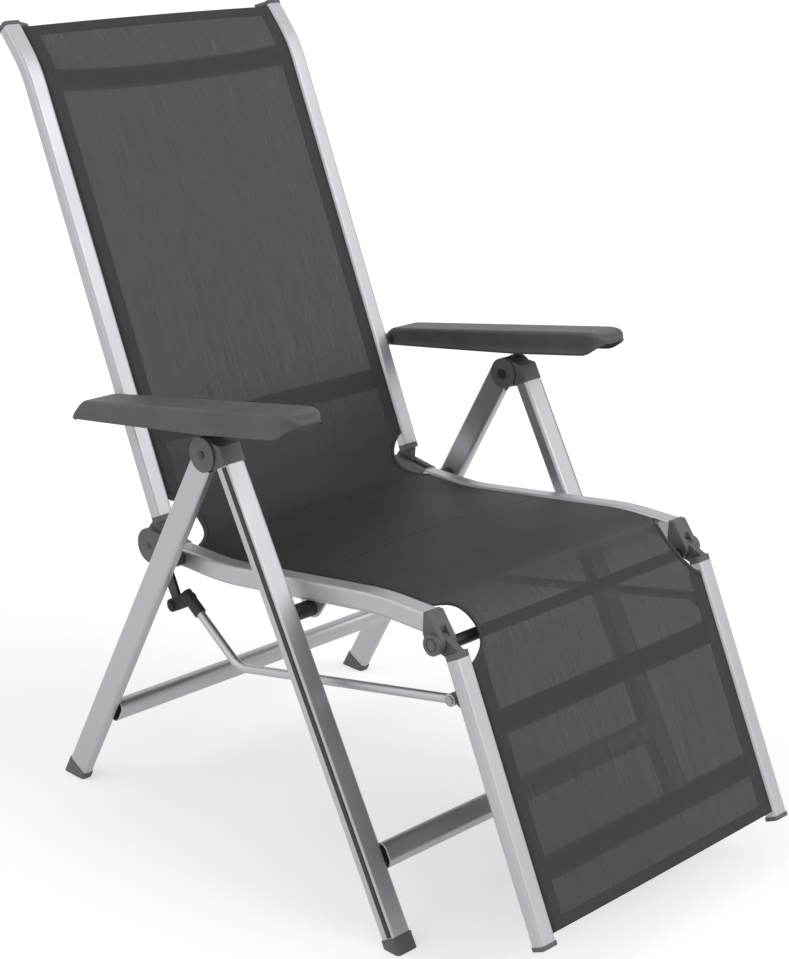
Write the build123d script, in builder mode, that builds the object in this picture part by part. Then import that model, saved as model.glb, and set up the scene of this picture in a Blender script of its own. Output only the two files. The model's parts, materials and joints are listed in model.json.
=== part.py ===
from build123d import *
from math import cos, radians, sin
import os

# Reclining garden armchair: folding legs, seat, back, footrest and armrests.
# Millimetres. +Z is up, the sitter faces -Y and X runs across the chair.
# The origin is on the floor, under the middle of the chair's box.
# Each side frame is drawn once, on the left (+X), and mirrored to the right.
# Points of the side view are (y, z) pairs.

os.makedirs("parts", exist_ok=True)

# Joint axes, seen from the side
leg_pivot = (38, 576)
seat_pivot = (-96, 385)
back_pivot = (213, 389)
footrest_pivot = (-330, 411)
arm_pivot = (269, 583)
crank_rivet = (170, 312)
bracket_rivet = (-357, 345)

# Lean of the members from the vertical, in degrees
front_leg_lean = 29.7
rear_leg_lean = 27.6
back_lean = 24.8
back_top_lean = 42.0
footrest_lean = 25.5

# Sections: across the chair, then in the side view
rail_width = 27
back_rail_depth = 20
footrest_rail_depth = 20
seat_rail_depth = 28
front_leg_width = 34
front_leg_depth = 22.5
rear_leg_width = 16
rear_leg_depth = 38
tube_wall = 1.6
tube_corner = 5
leg_wall = 2.2
rail_outer_x = 258
front_leg_inner_x = 275
rear_leg_inner_x = 280

# Seat rail centreline, from the back hinge to the footrest hinge
seat_rail_path = [(154, 391), (60, 391), (-230, 434), (-311, 434)]
seat_bend_radius = 450

# Back rail: hinge end, bend below the headrest, top end
back_rail_from_pivot = 36
back_top_height = 1067
back_bend_drop = 50
back_rail_offset = 29.8
back_bend_radius = 180

# Footrest rail
footrest_rail_offset = 20
footrest_rail_from_pivot = 24
footrest_bottom_height = 70.5

# Legs: how far each centreline passes from the leg pivot, and the tube ends
front_leg_offset = 25
rear_leg_offset = 10
front_leg_top_drop = 24.8
rear_leg_top_drop = 12
leg_foot_height = 14
foot_sleeve = 3
foot_lip = 1.2

# Groove and dark strip on the outer side of the front legs
strip_width = 7.6
strip_depth = 1.2
strip_from_middle = 5.8
strip_proud = 0.3
strip_end_gap = 2

# Crossbars: centre in the side view, height and depth of the tube
front_bar = (-268, 104)
front_bar_size = 34
rear_bar = (268, 127)
rear_bar_size = 36
low_back_bar_height = 534
top_back_bar_drop = 64
back_bar_size = 32
back_bar_depth = 18
top_back_bar_bow = 38
seat_bar = (-330, 404.5)
seat_bar_size = 16
upper_footrest_bar_height = 313
lower_footrest_bar_rise = 71.5
footrest_bar_size = 32
footrest_bar_depth = 16
back_bar_offset = 6
footrest_bar_offset = 5

# Share of a tube's depth that its rounded sides take up as a corner radius
round_end_share = 0.49

# Hinges
running_gap = 0.05
rod_loop_gap = 0.4
side_gap = 0.3
pin_radius = 5
small_pin_radius = 4
rivet_radius = 3
back_disc_radius = 25
back_tongue_radius = 22
footrest_disc_radius = 13.75
footrest_tongue_radius = 12
cheek_width = 8
hinge_collar = 8
slot_start = 4
slot_clearance = 1
plug_length = 22
plug_gap = 0.15
boss_height = 5
boss_ring_radius = 9
boss_ring_depth = 1.5
boss_ring_width = 2
crank_width = 4.8
crank_half = 8
bracket_width = 4
bracket_half = 8
bracket_weld_length = 30
head_height = 2
head_radius = 7

# Leg heads at the leg pivot
head_tongue_radius = 20
head_cheek_radius = 22.5
head_cap_radius = 23.5
head_clear_radius = 24
head_slot_radius = 31
head_plug_drop = 60
head_bridge_from = 30
head_bridge_to = 130
head_tongue_inner_x = 284.5
head_tongue_outer_x = 293.5
head_cheek_inner_x = 272.5
head_cheek_outer_x = 303
head_cap_outer_x = 312
leg_pin_inner_x = 270.5
leg_pin_outer_x = 313.5

# Seat pivot on the front leg
bush_radius = 11
bush_inner_x = 240.5
tab_inner_x = 236.3
tab_outer_x = 240.2
tab_radius = 14
tab_weld_length = 52
bolt_head_inner_x = 229
bolt_head_radius = 8

# Rest block of the seat, beside the rear leg
block_centre = (146, 391)
block_radius = 11
block_leg_gap = 0.5

# Link rod
rod_radius = 6.2
rod_x = 249.8
rod_bend_point = (34.5, 260.4)
rod_start = (144, 335.5)
rod_bend_radius = 42
rod_sleeve_length = 36
rod_sleeve_radius = 8.8
rod_end_width = 11
crank_end_radius = 9.5

# Armrest
arm_inner_x = 267.5
arm_outer_x = 329
arm_wall = 3
arm_top_wall = 4
arm_plan_radius = 22
arm_edge_radius = 5
arm_outline = [
    (-143, 653),
    (-119, 636),
    (12, 612),
    (166, 589),
    (240, 578),
    (262, 575),
    (290, 571.5),
    (292, 574),
    (268, 600.6),
    (-122, 670.5),
    (-145, 670),
    (-151, 662),
]
arm_end_wall = 4.5
arm_lug_radius = 11
arm_bush_radius = 9
arm_nut_radius = 5
arm_nut_height = 4
rack_pitch = 22
rack_count = 6
rack_tooth_depth = 7
rack_inner_x = 288
rack_outer_x = 300
rack_start = 78
rack_height = 9

# Caps on open tube ends
cap_plate = 5
cap_lip = 1
cap_plug = 14
wing_length = 19
wing_height = 15

# Fabric, held in a channel along the inner face of the rails
fabric_thickness = 2
fabric_below_face = 4
fabric_top_drop = 3
fabric_bottom_rise = 7.5
seat_fabric_ends = (150, -306)


def along(point, direction, distance):
    """The point at a distance along a unit direction of the side view."""
    return (point[0] + direction[0] * distance, point[1] + direction[1] * distance)


def up_direction(lean):
    """Unit direction of a member that leans back from the vertical by an angle."""
    return (sin(radians(lean)), cos(radians(lean)))


def front_normal(direction):
    """Unit normal of an upward direction, on its front side."""
    return (-direction[1], direction[0])


def at_height(point, direction, height):
    """The point of a line through a point, at a height above the floor."""
    return along(point, direction, (height - point[1]) / direction[1])


def side_tube(path_points, x, width, depth, wall, corner, bend=0):
    """Hollow rounded tube along a path of the side view, at a place across the chair."""
    with BuildPart() as tube:
        with BuildLine(Plane.YZ.offset(x)) as path:
            if bend:
                FilletPolyline(*path_points, radius=bend)
            else:
                Line(*path_points)
        start = path.line @ 0
        start_plane = Plane(origin=start, x_dir=(1, 0, 0), z_dir=path.line % 0)
        with BuildSketch(start_plane):
            RectangleRounded(width, depth, corner)
            RectangleRounded(width - 2 * wall, depth - 2 * wall, corner - wall, mode=Mode.SUBTRACT)
        sweep()
    return tube


def side_bar(path_points, x, width, depth, corner):
    """Solid rounded bar along a straight run of the side view."""
    with BuildPart() as bar:
        with BuildLine(Plane.YZ.offset(x)) as path:
            Line(*path_points)
        start = path.line @ 0
        start_plane = Plane(origin=start, x_dir=(1, 0, 0), z_dir=path.line % 0)
        with BuildSketch(start_plane):
            RectangleRounded(width, depth, corner)
        sweep()
    return bar


def side_plane(x):
    """The side view's plane at a place across the chair."""
    return Plane.YZ.offset(x)


def box_corners(start, end, half):
    """Corners of a strip of the side view around a line, by half its width."""
    length = ((end[0] - start[0]) ** 2 + (end[1] - start[1]) ** 2) ** 0.5
    direction = ((end[0] - start[0]) / length, (end[1] - start[1]) / length)
    normal = front_normal(direction)
    return [
        along(start, normal, half),
        along(end, normal, half),
        along(end, normal, -half),
        along(start, normal, -half),
    ]


def save(piece, label):
    piece.part.label = label
    export_step(piece.part, f"parts/{label}.step")


def save_sides(piece, label):
    """Write the left piece and its mirror image on the right, as two nodes."""
    save(piece, f"{label}_left")
    with BuildPart() as twin:
        mirror(piece.part, about=Plane.YZ)
    save(twin, f"{label}_right")


def save_group(piece, label):
    """Write the left piece and its mirror image as one node of separate solids."""
    with BuildPart() as group:
        add(piece.part)
        mirror(piece.part, about=Plane.YZ)
    save(group, label)


# Lines of the members
rail_x = rail_outer_x - rail_width / 2
rail_inner_x = rail_outer_x - rail_width
front_leg_x = front_leg_inner_x + front_leg_width / 2
rear_leg_x = rear_leg_inner_x + rear_leg_width / 2
front_leg_up = up_direction(front_leg_lean)
rear_leg_up = up_direction(-rear_leg_lean)
back_up = up_direction(back_lean)
back_top_up = up_direction(back_top_lean)
footrest_up = up_direction(footrest_lean)
front_leg_normal = front_normal(front_leg_up)
rear_leg_normal = front_normal(rear_leg_up)
back_normal = front_normal(back_up)
footrest_normal = front_normal(footrest_up)

front_leg_middle = along(leg_pivot, front_leg_normal, front_leg_offset)
rear_leg_middle = along(leg_pivot, rear_leg_normal, -rear_leg_offset)
front_leg_top = along(front_leg_middle, front_leg_up, -front_leg_top_drop)
rear_leg_top = along(rear_leg_middle, rear_leg_up, -rear_leg_top_drop)
front_leg_end = at_height(front_leg_middle, front_leg_up, leg_foot_height)
rear_leg_end = at_height(rear_leg_middle, rear_leg_up, leg_foot_height + foot_sleeve)
back_middle = along(back_pivot, back_normal, back_rail_offset)
back_rail_start = along(back_middle, back_up, back_rail_from_pivot)
back_bend = at_height(back_middle, back_up, back_top_height - back_bend_drop)
back_top = at_height(back_bend, back_top_up, back_top_height)
footrest_middle = along(footrest_pivot, footrest_normal, footrest_rail_offset)
footrest_start = along(footrest_middle, footrest_up, -footrest_rail_from_pivot)
footrest_end = at_height(footrest_middle, footrest_up, footrest_bottom_height)

# Front legs, with the groove for the dark strip on the outer side
groove_y = strip_from_middle
with BuildPart() as front_leg:
    with BuildLine(side_plane(front_leg_x)) as front_leg_line:
        Line(front_leg_end, front_leg_top)
    front_leg_plane = Plane(
        origin=front_leg_line.line @ 0, x_dir=(1, 0, 0), z_dir=front_leg_line.line % 0
    )
    with BuildSketch(front_leg_plane):
        RectangleRounded(front_leg_width, front_leg_depth, tube_corner)
        RectangleRounded(
            front_leg_width - 2 * leg_wall,
            front_leg_depth - 2 * leg_wall,
            tube_corner - leg_wall,
            mode=Mode.SUBTRACT,
        )
        with Locations((front_leg_width / 2, -groove_y)):
            Rectangle(2 * strip_depth, strip_width, mode=Mode.SUBTRACT)
    sweep()
    with BuildSketch(side_plane(front_leg_inner_x - leg_wall)):
        with Locations(seat_pivot):
            Circle(small_pin_radius + running_gap)
    extrude(amount=3 * leg_wall, mode=Mode.SUBTRACT)
save_sides(front_leg, "front_leg")

# Dark strips in the grooves
strip_plane = Plane(
    origin=front_leg_line.line @ 0, x_dir=(1, 0, 0), z_dir=front_leg_line.line % 0
).offset(strip_end_gap)
strip_length = front_leg_line.edge().length - 2 * strip_end_gap
with BuildPart() as leg_strip:
    with BuildSketch(strip_plane):
        with Locations((front_leg_width / 2 - (strip_depth - strip_proud) / 2, -groove_y)):
            Rectangle(strip_depth + strip_proud, strip_width - 2 * plug_gap)
    extrude(amount=strip_length)
save_group(leg_strip, "front_leg_strips")


def foot(leg_end, leg_up, x, width, depth, corner):
    """Dark foot that caps a slanting leg and lies flat on the floor."""
    below = at_height(leg_end, leg_up, -depth)
    block = side_bar((leg_end, below), x, width + 2 * foot_lip, depth + 2 * foot_lip, corner)
    with BuildPart() as piece:
        add(block.part)
        split(bisect_by=Plane.XY, keep=Keep.TOP)
    return piece


front_foot = foot(
    front_leg_end, front_leg_up, front_leg_x, front_leg_width, front_leg_depth, tube_corner
)
save_group(front_foot, "front_feet")
rear_foot = foot(rear_leg_end, rear_leg_up, rear_leg_x, rear_leg_width, rear_leg_depth, tube_corner)
save_group(rear_foot, "rear_feet")

# Crossbars of the legs: thick rounded tubes between the legs
def cross_tube(centre, half_length, height, depth, wall, lean=0):
    """Hollow rounded tube across the chair, its height along a leaning direction."""
    tilt = up_direction(lean)
    section = Plane(
        origin=(-half_length, centre[0], centre[1]), x_dir=(0, *tilt), z_dir=(1, 0, 0)
    )
    corner = round_end_share * min(height, depth)
    with BuildPart() as tube:
        with BuildSketch(section):
            RectangleRounded(height, depth, corner)
            RectangleRounded(height - 2 * wall, depth - 2 * wall, corner - wall, mode=Mode.SUBTRACT)
        extrude(amount=2 * half_length)
    return tube


front_crossbar = cross_tube(
    front_bar, front_leg_inner_x, front_bar_size, front_leg_depth, tube_wall, front_leg_lean
)
save(front_crossbar, "front_crossbar")
rear_crossbar = cross_tube(
    rear_bar, rear_leg_inner_x, rear_bar_size, front_leg_depth, tube_wall, -rear_leg_lean
)
save(rear_crossbar, "rear_crossbar")

head_slot_width = head_tongue_outer_x - head_tongue_inner_x + 2 * side_gap

# Rear legs, their upper ends hollowed out to fit around the leg heads
rear_leg_tube = side_tube(
    (rear_leg_end, rear_leg_top), rear_leg_x, rear_leg_width, rear_leg_depth, leg_wall, tube_corner
)
with BuildPart() as rear_leg:
    add(rear_leg_tube.part)
    with BuildSketch(side_plane(rear_leg_inner_x)):
        with Locations(leg_pivot):
            Circle(head_cheek_radius + side_gap)
    extrude(amount=rear_leg_width, mode=Mode.SUBTRACT)
    with BuildSketch(side_plane(head_tongue_inner_x - side_gap)):
        with Locations(leg_pivot):
            Circle(head_slot_radius)
    extrude(amount=head_slot_width, mode=Mode.SUBTRACT)
save_sides(rear_leg, "rear_leg")

# Front leg heads: a block on the tube's end with one tongue at the pivot
front_plug_end = along(front_leg_top, front_leg_up, -plug_length)
front_block = box_corners(front_leg_top, front_leg_middle, front_leg_depth / 2)
with BuildPart() as front_head:
    with BuildSketch(side_plane(front_leg_inner_x)):
        with BuildLine():
            Polyline(*front_block, close=True)
        make_face()
        with Locations(leg_pivot):
            Circle(head_tongue_radius)
        make_hull()
    extrude(amount=front_leg_width)
    with BuildSketch(side_plane(front_leg_inner_x)):
        with Locations(leg_pivot):
            Circle(head_clear_radius)
    extrude(amount=head_tongue_inner_x - front_leg_inner_x, mode=Mode.SUBTRACT)
    with BuildSketch(side_plane(head_tongue_outer_x)):
        with Locations(leg_pivot):
            Circle(head_clear_radius)
    extrude(amount=front_leg_width, mode=Mode.SUBTRACT)
    plug = side_bar(
        (front_leg_top, front_plug_end),
        front_leg_x,
        front_leg_width - 2 * leg_wall - 2 * plug_gap,
        front_leg_depth - 2 * leg_wall - 2 * plug_gap,
        tube_corner - leg_wall,
    )
    add(plug.part)
    with BuildSketch(side_plane(front_leg_inner_x)):
        with Locations(leg_pivot):
            Circle(pin_radius + running_gap)
    extrude(amount=front_leg_width, mode=Mode.SUBTRACT)
save_sides(front_head, "front_leg_head")

# Rear leg heads: two cheeks, a round outer cap and a plug that runs down into the tube
rear_head_plug = side_bar(
    (
        along(rear_leg_middle, rear_leg_up, -rear_leg_top_drop),
        along(rear_leg_middle, rear_leg_up, -head_plug_drop),
    ),
    rear_leg_x,
    rear_leg_width - 2 * leg_wall - 2 * plug_gap,
    rear_leg_depth - 2 * leg_wall - 2 * plug_gap,
    tube_corner - leg_wall,
)
# Behind the pivot the cheeks are joined by a bridge that the tongue never reaches
head_bridge = [
    along(
        along(leg_pivot, rear_leg_up, -2 * head_slot_radius * cos(radians(angle))),
        rear_leg_normal,
        -2 * head_slot_radius * sin(radians(angle)),
    )
    for angle in (head_bridge_from, head_bridge_to)
]
with BuildPart() as rear_head:
    with BuildSketch(side_plane(head_cheek_inner_x)):
        with Locations(leg_pivot):
            Circle(head_cheek_radius)
    extrude(amount=head_cheek_outer_x - head_cheek_inner_x)
    with BuildSketch(side_plane(head_cheek_outer_x)):
        with Locations(leg_pivot):
            Circle(head_cap_radius)
    extrude(amount=head_cap_outer_x - head_cheek_outer_x)
    add(rear_head_plug.part)
    with BuildSketch(side_plane(head_tongue_inner_x - side_gap)):
        with Locations(leg_pivot):
            Circle(head_slot_radius)
        with BuildLine():
            Polyline(leg_pivot, *head_bridge, close=True)
        make_face(mode=Mode.SUBTRACT)
        with Locations(leg_pivot):
            Circle(head_tongue_radius + 2 * side_gap)
    extrude(amount=head_slot_width, mode=Mode.SUBTRACT)
    with BuildSketch(side_plane(head_cheek_inner_x)):
        with Locations(leg_pivot):
            Circle(pin_radius + running_gap)
    extrude(amount=head_cap_outer_x - head_cheek_inner_x, mode=Mode.SUBTRACT)
save_sides(rear_head, "rear_leg_head")

# Pins of the leg pivot
with BuildPart() as leg_pin:
    with BuildSketch(side_plane(leg_pin_inner_x)):
        with Locations(leg_pivot):
            Circle(pin_radius)
    extrude(amount=leg_pin_outer_x - leg_pin_inner_x)
    with BuildSketch(side_plane(leg_pin_inner_x - head_height)):
        with Locations(leg_pivot):
            Circle(head_radius)
    extrude(amount=head_height)
save_group(leg_pin, "leg_pins")

# Seat pivot: bush against the front leg, bolt through the tab of the seat rail
with BuildPart() as seat_bush:
    with BuildSketch(side_plane(bush_inner_x)):
        with Locations(seat_pivot):
            Circle(bush_radius)
            Circle(small_pin_radius + running_gap, mode=Mode.SUBTRACT)
    extrude(amount=front_leg_inner_x - bush_inner_x)
save_group(seat_bush, "seat_bushes")

with BuildPart() as seat_bolt:
    with BuildSketch(side_plane(bolt_head_inner_x)):
        with Locations(seat_pivot):
            Circle(small_pin_radius)
    extrude(amount=front_leg_inner_x + leg_wall - bolt_head_inner_x)
    with BuildSketch(side_plane(bolt_head_inner_x)):
        with Locations(seat_pivot):
            RegularPolygon(bolt_head_radius, 6)
    extrude(amount=tab_inner_x - side_gap - bolt_head_inner_x)
save_group(seat_bolt, "seat_bolts")

# Seat rails
seat_rail = side_tube(
    seat_rail_path, rail_x, rail_width, seat_rail_depth, tube_wall, tube_corner, seat_bend_radius
)
save_sides(seat_rail, "seat_rail")

# Tabs welded under the seat rails
tab_slope_start = seat_rail_path[1]
tab_slope_end = seat_rail_path[2]
slope_run = tab_slope_end[0] - tab_slope_start[0]
slope_rise = tab_slope_end[1] - tab_slope_start[1]
slope_length = (slope_run ** 2 + slope_rise ** 2) ** 0.5
seat_forward = (slope_run / slope_length, slope_rise / slope_length)
seat_down = (seat_forward[1], -seat_forward[0])
if seat_down[1] > 0:
    seat_down = (-seat_down[0], -seat_down[1])
tab_middle = along(
    tab_slope_start, seat_forward, (seat_pivot[0] - tab_slope_start[0]) / seat_forward[0]
)
tab_weld = along(tab_middle, seat_down, seat_rail_depth / 2)
tab_ends = [
    along(tab_weld, seat_forward, -tab_weld_length / 2),
    along(tab_weld, seat_forward, tab_weld_length / 2),
    along(along(tab_weld, seat_forward, tab_weld_length / 2), seat_down, head_height),
    along(along(tab_weld, seat_forward, -tab_weld_length / 2), seat_down, head_height),
]
with BuildPart() as seat_tab:
    with BuildSketch(side_plane(tab_inner_x)):
        with BuildLine():
            Polyline(*tab_ends, close=True)
        make_face()
        with Locations(seat_pivot):
            Circle(tab_radius)
        make_hull()
        with Locations(seat_pivot):
            Circle(small_pin_radius + running_gap, mode=Mode.SUBTRACT)
    extrude(amount=tab_outer_x - tab_inner_x)
save_group(seat_tab, "seat_tabs")

# Rest blocks on the outer side of the seat rails, just clear of the rear legs
with BuildPart() as rest_block:
    with BuildSketch(side_plane(rail_outer_x)):
        with Locations(block_centre):
            Circle(block_radius)
    extrude(amount=rear_leg_inner_x - block_leg_gap - rail_outer_x)
save_group(rest_block, "seat_rest_blocks")

# Crossbar at the front of the seat, between the footrest hinges
with BuildPart() as seat_crossbar:
    with BuildSketch(side_plane(-rail_inner_x)):
        with Locations(seat_bar):
            Circle(seat_bar_size / 2)
            Circle(seat_bar_size / 2 - tube_wall, mode=Mode.SUBTRACT)
    extrude(amount=2 * rail_inner_x)
save(seat_crossbar, "seat_crossbar")


def forked_hinge(rail_end, inward, depth, pivot, disc_radius, slot_edge, slot_radius):
    """Hinge piece on a rail's end: a plug, a collar and two cheeks around a slot."""
    collar_end = along(rail_end, inward, -hinge_collar)
    plug_end = along(rail_end, inward, plug_length)
    plug = side_bar(
        (rail_end, plug_end),
        rail_x,
        rail_width - 2 * tube_wall - 2 * plug_gap,
        depth - 2 * tube_wall - 2 * plug_gap,
        tube_corner - tube_wall,
    )
    slot_end = along(pivot, inward, -2 * disc_radius)
    with BuildPart() as hinge:
        with BuildSketch(side_plane(rail_inner_x)):
            with BuildLine():
                Polyline(*box_corners(rail_end, collar_end, depth / 2), close=True)
            make_face()
            with Locations(pivot):
                Circle(disc_radius)
            make_hull()
        extrude(amount=rail_width)
        with BuildSketch(side_plane(rail_inner_x + cheek_width)):
            with BuildLine():
                Polyline(*box_corners(slot_edge, slot_end, 3 * disc_radius), close=True)
            make_face()
            with Locations(pivot):
                Circle(slot_radius)
        extrude(amount=rail_width - 2 * cheek_width, mode=Mode.SUBTRACT)
        with BuildSketch(side_plane(rail_inner_x)):
            with Locations(pivot):
                Circle(pin_radius + running_gap)
        extrude(amount=rail_width, mode=Mode.SUBTRACT)
        add(plug.part)
    return hinge


seat_rear_hinge = forked_hinge(
    seat_rail_path[0],
    (-1, 0),
    seat_rail_depth,
    back_pivot,
    back_disc_radius,
    along(seat_rail_path[0], (1, 0), slot_start),
    back_tongue_radius + slot_clearance,
)
save_sides(seat_rear_hinge, "seat_rear_hinge")
seat_front_hinge = forked_hinge(
    seat_rail_path[3],
    (1, 0),
    seat_rail_depth,
    footrest_pivot,
    footrest_disc_radius,
    footrest_pivot,
    footrest_tongue_radius + slot_clearance,
)
save_sides(seat_front_hinge, "seat_front_hinge")

# Pins of the back hinges, flush in their cheeks
with BuildPart() as back_pin:
    with BuildSketch(side_plane(rail_inner_x)):
        with Locations(back_pivot):
            Circle(pin_radius)
    extrude(amount=rail_width)
save_group(back_pin, "back_hinge_pins")

# Pins of the footrest hinges, with the round boss and its ring on the outer side
with BuildPart() as footrest_pin:
    with BuildSketch(side_plane(rail_inner_x)):
        with Locations(footrest_pivot):
            Circle(pin_radius)
    extrude(amount=rail_width)
    with BuildSketch(side_plane(rail_outer_x)):
        with Locations(footrest_pivot):
            Circle(footrest_disc_radius)
    extrude(amount=boss_height)
    with BuildSketch(side_plane(rail_outer_x + boss_height - boss_ring_depth)):
        with Locations(footrest_pivot):
            Circle(boss_ring_radius)
            Circle(boss_ring_radius - boss_ring_width, mode=Mode.SUBTRACT)
    extrude(amount=boss_ring_depth, mode=Mode.SUBTRACT)
save_group(footrest_pin, "footrest_hinge_pins")

# Back rails, with a hole in the outer wall for the bolt of the armrest
back_tube = side_tube(
    (back_rail_start, back_bend, back_top),
    rail_x,
    rail_width,
    back_rail_depth,
    tube_wall,
    tube_corner,
    back_bend_radius,
)
with BuildPart() as back_rail:
    add(back_tube.part)
    with BuildSketch(side_plane(rail_x)):
        with Locations(arm_pivot):
            Circle(rivet_radius + running_gap)
    extrude(amount=rail_width, mode=Mode.SUBTRACT)
save_sides(back_rail, "back_rail")


def tongue_hinge(rail_end, inward, depth, pivot, disc_radius, tongue_x, width):
    """Hinge piece on a rail's end: a plug, a collar and one tongue around the pin."""
    collar_end = along(rail_end, inward, -hinge_collar)
    plug_end = along(rail_end, inward, plug_length)
    plug = side_bar(
        (rail_end, plug_end),
        rail_x,
        rail_width - 2 * tube_wall - 2 * plug_gap,
        depth - 2 * tube_wall - 2 * plug_gap,
        tube_corner - tube_wall,
    )
    collar = side_bar((rail_end, collar_end), rail_x, rail_width, depth, tube_corner)
    with BuildPart() as hinge:
        with BuildSketch(side_plane(tongue_x)):
            with BuildLine():
                Polyline(*box_corners(rail_end, collar_end, depth / 2), close=True)
            make_face()
            with Locations(pivot):
                Circle(disc_radius)
            make_hull()
            with Locations(pivot):
                Circle(pin_radius + running_gap, mode=Mode.SUBTRACT)
        extrude(amount=width)
        add(collar.part)
        add(plug.part)
    return hinge


crank_x = rail_inner_x + cheek_width + side_gap
tongue_x = crank_x + crank_width
back_hinge = tongue_hinge(
    back_rail_start,
    back_up,
    back_rail_depth,
    back_pivot,
    back_tongue_radius,
    tongue_x,
    rail_outer_x - cheek_width - side_gap - tongue_x,
)
save_sides(back_hinge, "back_hinge")

# Cranks on the back hinges, pointing down to the link rods
with BuildPart() as crank:
    with BuildSketch(side_plane(crank_x)):
        with Locations(back_pivot):
            Circle(back_tongue_radius / 2)
        with Locations(crank_rivet):
            Circle(crank_half)
        make_hull()
        with Locations(back_pivot):
            Circle(pin_radius + running_gap, mode=Mode.SUBTRACT)
        with Locations(crank_rivet):
            Circle(rivet_radius + running_gap, mode=Mode.SUBTRACT)
    extrude(amount=crank_width)
save_sides(crank, "crank")

rivet_inner_x = crank_x - head_height
rivet_outer_x = rod_x + rod_end_width / 2 + head_height


def rivet(point, outer_x):
    """Rivet across the chair with a round head at each end."""
    with BuildPart() as piece:
        with BuildSketch(side_plane(rivet_inner_x)):
            with Locations(point):
                Circle(rivet_radius)
        extrude(amount=outer_x - rivet_inner_x)
        with BuildSketch(side_plane(rivet_inner_x)):
            with Locations(point):
                Circle(2 * rivet_radius)
        extrude(amount=head_height)
        with BuildSketch(side_plane(outer_x - head_height + side_gap)):
            with Locations(point):
                Circle(2 * rivet_radius)
        extrude(amount=head_height)
    return piece


crank_rivets = rivet(crank_rivet, rivet_outer_x)
save_group(crank_rivets, "crank_rivets")
bracket_rivets = rivet(bracket_rivet, rod_x + rod_radius + head_height)
save_group(bracket_rivets, "bracket_rivets")

# Crossbars of the back; the upper one bows away from the sitter's head
low_bar_centre = along(
    at_height(back_middle, back_up, low_back_bar_height), back_normal, -back_bar_offset
)
low_back_bar = cross_tube(
    low_bar_centre, rail_inner_x, back_bar_size, back_bar_depth, tube_wall, back_lean
)
save(low_back_bar, "back_crossbar_lower")

top_bar_centre = along(
    at_height(back_middle, back_up, back_top_height - top_back_bar_drop),
    back_normal,
    -back_bar_offset,
)
top_bar_reach = rail_inner_x + tube_corner
back_plane = Plane(
    origin=(0, *top_bar_centre), x_dir=(1, 0, 0), z_dir=(0, *back_up)
)
with BuildPart() as top_back_bar:
    with BuildLine(back_plane) as top_bar_line:
        ThreePointArc((-top_bar_reach, 0), (0, top_back_bar_bow), (top_bar_reach, 0))
    bar_start = Plane(
        origin=top_bar_line.line @ 0, x_dir=(0, *back_up), z_dir=top_bar_line.line % 0
    )
    with BuildSketch(bar_start):
        RectangleRounded(back_bar_size, back_bar_depth, round_end_share * back_bar_depth)
        RectangleRounded(
            back_bar_size - 2 * tube_wall,
            back_bar_depth - 2 * tube_wall,
            round_end_share * back_bar_depth - tube_wall,
            mode=Mode.SUBTRACT,
        )
    sweep()
    split(bisect_by=Plane.YZ.offset(-rail_inner_x), keep=Keep.TOP)
    split(bisect_by=Plane.YZ.offset(rail_inner_x), keep=Keep.BOTTOM)
save(top_back_bar, "back_crossbar_upper")

# Caps on the top ends of the back rails, with a small wing over the fabric's corner
cap_end = along(back_top, back_top_up, cap_plate)
cap_plug_end = along(back_top, back_top_up, -cap_plug)
cap_plate_bar = side_bar(
    (back_top, cap_end), rail_x, rail_width + 2 * cap_lip, back_rail_depth + 2 * cap_lip, tube_corner
)
cap_plug_bar = side_bar(
    (back_top, cap_plug_end),
    rail_x,
    rail_width - 2 * tube_wall - 2 * plug_gap,
    back_rail_depth - 2 * tube_wall - 2 * plug_gap,
    tube_corner - tube_wall,
)
with BuildPart() as back_cap:
    add(cap_plate_bar.part)
    add(cap_plug_bar.part)
    wing_plane = Plane(origin=(rail_inner_x, *cap_end), x_dir=(-1, 0, 0), z_dir=(0, *back_top_up))
    with BuildSketch(wing_plane):
        with BuildLine():
            Polyline((-cap_lip, -wing_height / 2), (wing_length, 0), (-cap_lip, wing_height / 2), close=True)
        make_face()
    extrude(amount=-cap_plate)
save_sides(back_cap, "back_cap")

# Bushes between the back rails and the armrests
with BuildPart() as arm_bush:
    with BuildSketch(side_plane(rail_outer_x)):
        with Locations(arm_pivot):
            Circle(arm_bush_radius)
            Circle(rivet_radius + running_gap, mode=Mode.SUBTRACT)
    extrude(amount=arm_inner_x - side_gap - rail_outer_x)
save_group(arm_bush, "arm_bushes")

# Bolts of the armrest pivots, each with its nut inside the rail
arm_nut_x = rail_outer_x - tube_wall - arm_nut_height
arm_head_x = arm_inner_x + arm_wall + side_gap
with BuildPart() as arm_bolt:
    with BuildSketch(side_plane(arm_nut_x)):
        with Locations(arm_pivot):
            Circle(rivet_radius)
    extrude(amount=arm_head_x + head_height - arm_nut_x)
    with BuildSketch(side_plane(arm_nut_x)):
        with Locations(arm_pivot):
            RegularPolygon(arm_nut_radius, 6)
    extrude(amount=arm_nut_height)
    with BuildSketch(side_plane(arm_head_x)):
        with Locations(arm_pivot):
            Circle(2 * rivet_radius)
    extrude(amount=head_height)
save_group(arm_bolt, "arm_bolts")

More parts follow.
